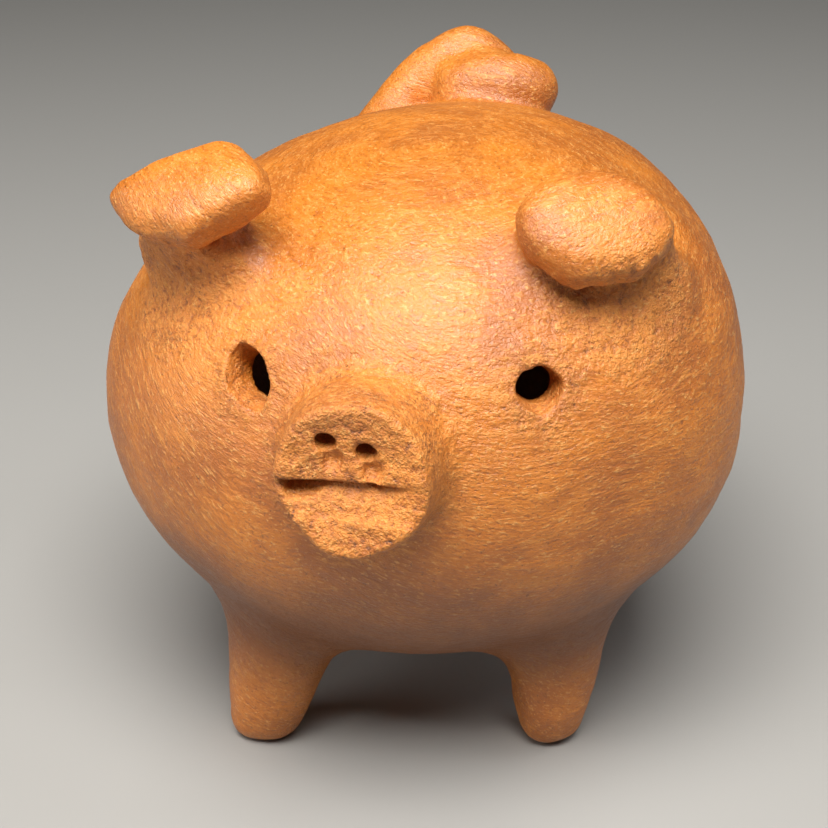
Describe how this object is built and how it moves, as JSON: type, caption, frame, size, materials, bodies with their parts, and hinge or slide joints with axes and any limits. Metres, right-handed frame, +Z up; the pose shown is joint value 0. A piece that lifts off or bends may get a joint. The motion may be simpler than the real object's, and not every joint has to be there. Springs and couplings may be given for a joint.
{
  "type": "piggy bank",
  "caption": "Small hollow clay pig for saving coins, standing on stubby legs, with punched eyes, folded ears, a disc snout, a curled tail and a slot in its back.",
  "frame": {"origin": "middle of the footprint, on the surface that the feet stand on", "axes": "+Z up; the pig faces -Y; +X is its left side"},
  "size_m": [0.092, 0.121, 0.0899],
  "materials": {
    "burnished_clay": "unglazed terracotta, smoothed and partly burnished",
    "raw_clay": "unglazed terracotta, rough and grainy"
  },
  "bodies": {
    "root": {"body_lower_bowl": "burnished_clay", "body_upper_dome": "burnished_clay", "ear_left": "burnished_clay", "ear_right": "burnished_clay", "leg_front_left": "burnished_clay", "leg_front_right": "burnished_clay", "leg_rear_left": "burnished_clay", "leg_rear_right": "burnished_clay", "tail": "burnished_clay", "snout": "raw_clay", "snout_luting_coil": "raw_clay", "ear_left_luting_coil": "raw_clay", "ear_right_luting_coil": "raw_clay", "leg_front_left_luting_coil": "raw_clay", "leg_front_right_luting_coil": "raw_clay", "leg_rear_left_luting_coil": "raw_clay", "leg_rear_right_luting_coil": "raw_clay", "tail_luting_coil": "raw_clay", "seam_coil": "raw_clay"}
  },
  "joints": []
}
